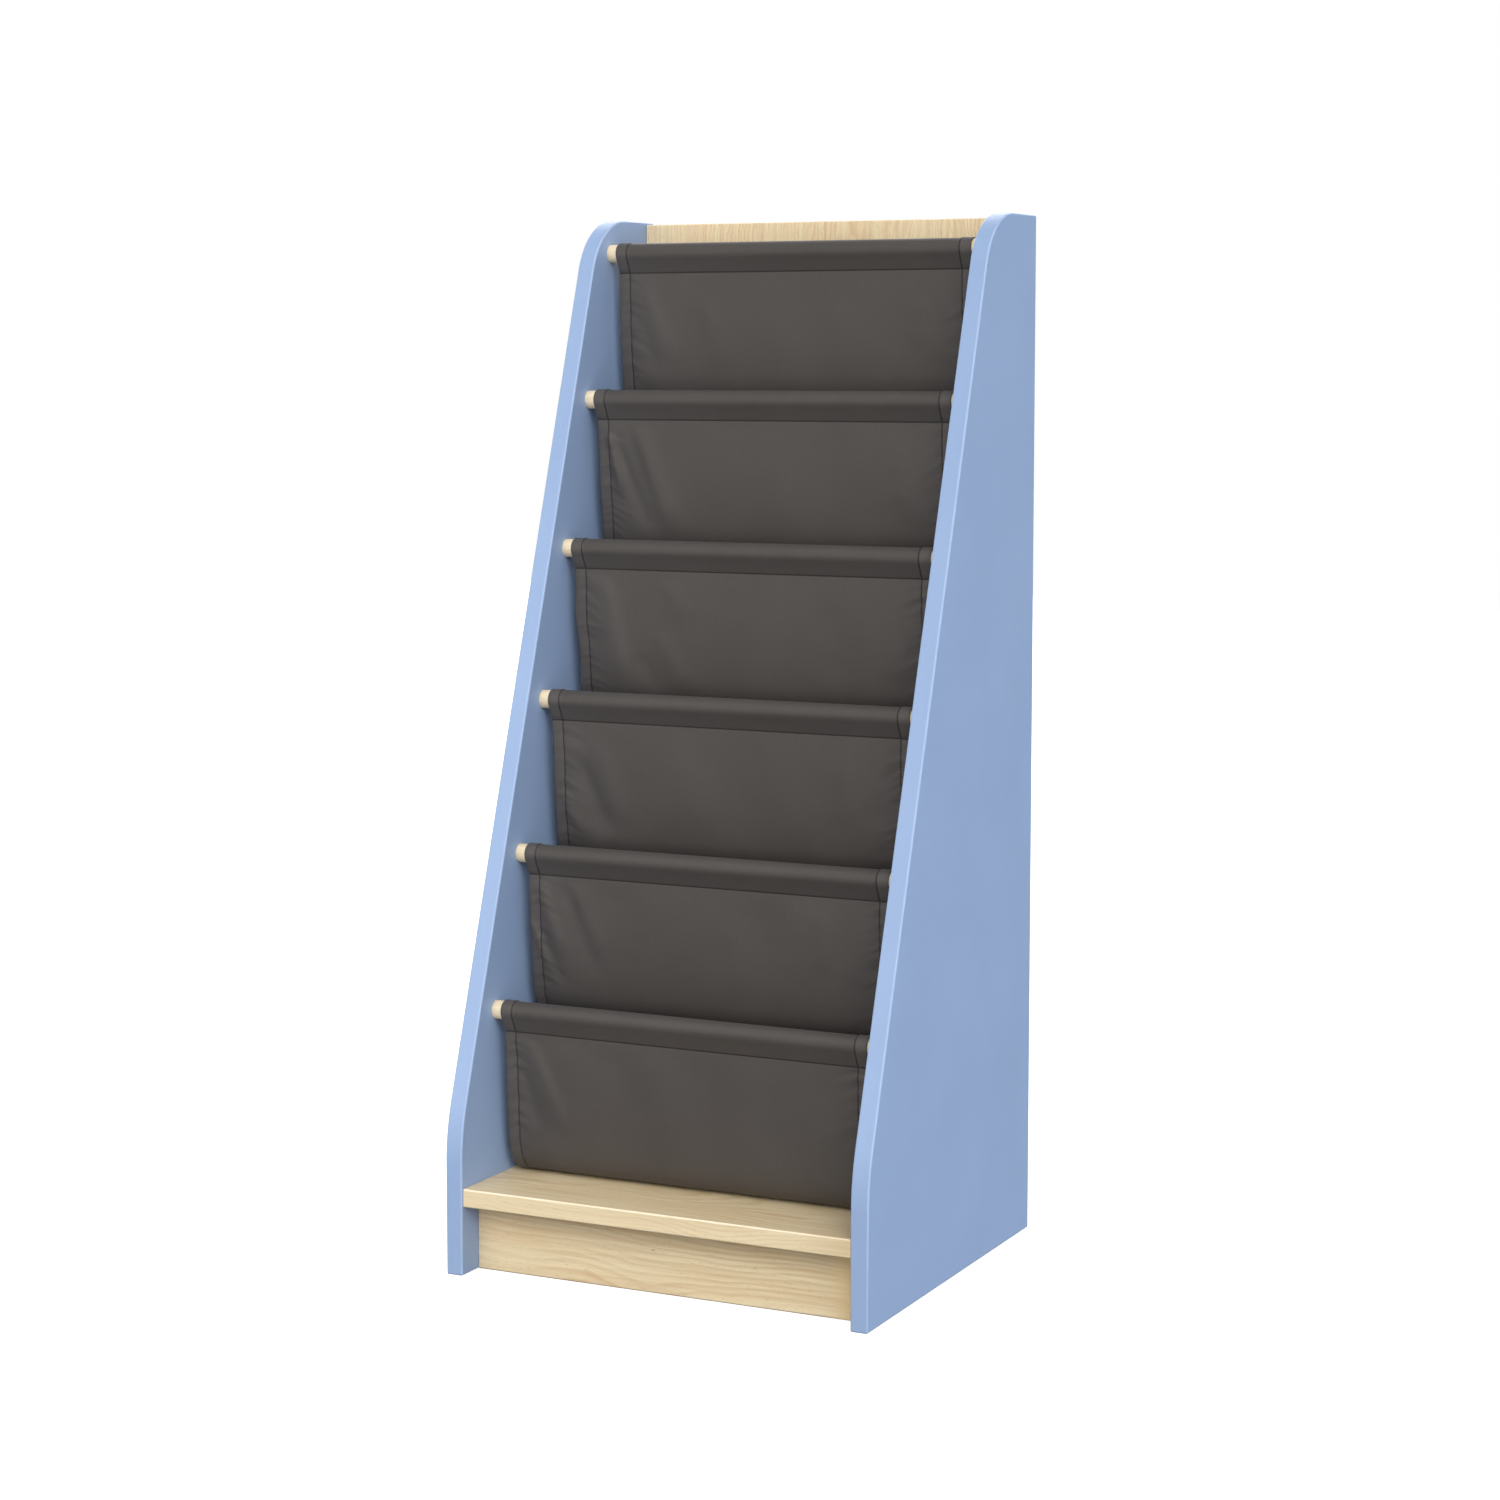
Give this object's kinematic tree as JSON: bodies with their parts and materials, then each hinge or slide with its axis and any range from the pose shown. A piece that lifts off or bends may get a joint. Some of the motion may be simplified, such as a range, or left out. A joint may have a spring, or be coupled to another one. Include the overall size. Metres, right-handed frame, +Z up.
{
  "type": "sling bookshelf",
  "caption": "Tall narrow children's book display: slanted side panels carry stacked fabric slings on dowels above a low display shelf.",
  "frame": {"origin": "bottom centre of the whole object, on the floor", "axes": "+X to the viewer's right, +Y to the back (the front faces -Y), +Z up"},
  "size_m": [0.471, 0.4276, 1.0815],
  "materials": {
    "painted_panel": "satin light blue laminate on board, arrises eased",
    "maple_board": "clear satin lacquer on pale maple",
    "dowel_wood": "clear satin lacquer, turned",
    "sling_canvas": "charcoal canvas, tightly woven, slight sheen",
    "fitting_metal": "bright zinc plate",
    "pin_wood": "bare beech, fluted"
  },
  "bodies": {
    "root": {"left_side_panel": "painted_panel", "right_side_panel": "painted_panel", "back_panel": "maple_board", "bottom_shelf": "maple_board", "kick_plate": "maple_board", "front_dowel_1": "dowel_wood", "front_dowel_2": "dowel_wood", "front_dowel_3": "dowel_wood", "front_dowel_4": "dowel_wood", "front_dowel_5": "dowel_wood", "front_dowel_6": "dowel_wood", "rear_dowel_1": "dowel_wood", "rear_dowel_2": "dowel_wood", "rear_dowel_3": "dowel_wood", "rear_dowel_4": "dowel_wood", "rear_dowel_5": "dowel_wood", "rear_dowel_6": "dowel_wood", "sling_1": "sling_canvas", "sling_2": "sling_canvas", "sling_3": "sling_canvas", "sling_4": "sling_canvas", "sling_5": "sling_canvas", "sling_6": "sling_canvas", "cam_bolt_shelf_front_left": "fitting_metal", "cam_bolt_shelf_front_right": "fitting_metal", "cam_bolt_shelf_rear_left": "fitting_metal", "cam_bolt_shelf_rear_right": "fitting_metal", "cam_bolt_kick_left": "fitting_metal", "cam_bolt_kick_right": "fitting_metal", "cam_bolt_back_low_left": "fitting_metal", "cam_bolt_back_low_right": "fitting_metal", "cam_bolt_back_mid_left": "fitting_metal", "cam_bolt_back_mid_right": "fitting_metal", "cam_bolt_back_high_left": "fitting_metal", "cam_bolt_back_high_right": "fitting_metal", "cam_lock_shelf_front_left": "fitting_metal", "cam_lock_shelf_front_right": "fitting_metal", "cam_lock_shelf_rear_left": "fitting_metal", "cam_lock_shelf_rear_right": "fitting_metal", "cam_lock_kick_left": "fitting_metal", "cam_lock_kick_right": "fitting_metal", "cam_lock_back_low_left": "fitting_metal", "cam_lock_back_low_right": "fitting_metal", "cam_lock_back_mid_left": "fitting_metal", "cam_lock_back_mid_right": "fitting_metal", "cam_lock_back_high_left": "fitting_metal", "cam_lock_back_high_right": "fitting_metal", "wood_pin_shelf_left": "pin_wood", "wood_pin_shelf_right": "pin_wood", "wood_pin_kick_left": "pin_wood", "wood_pin_kick_right": "pin_wood", "wood_pin_back_low_left": "pin_wood", "wood_pin_back_low_right": "pin_wood", "wood_pin_back_high_left": "pin_wood", "wood_pin_back_high_right": "pin_wood"}
  },
  "joints": []
}
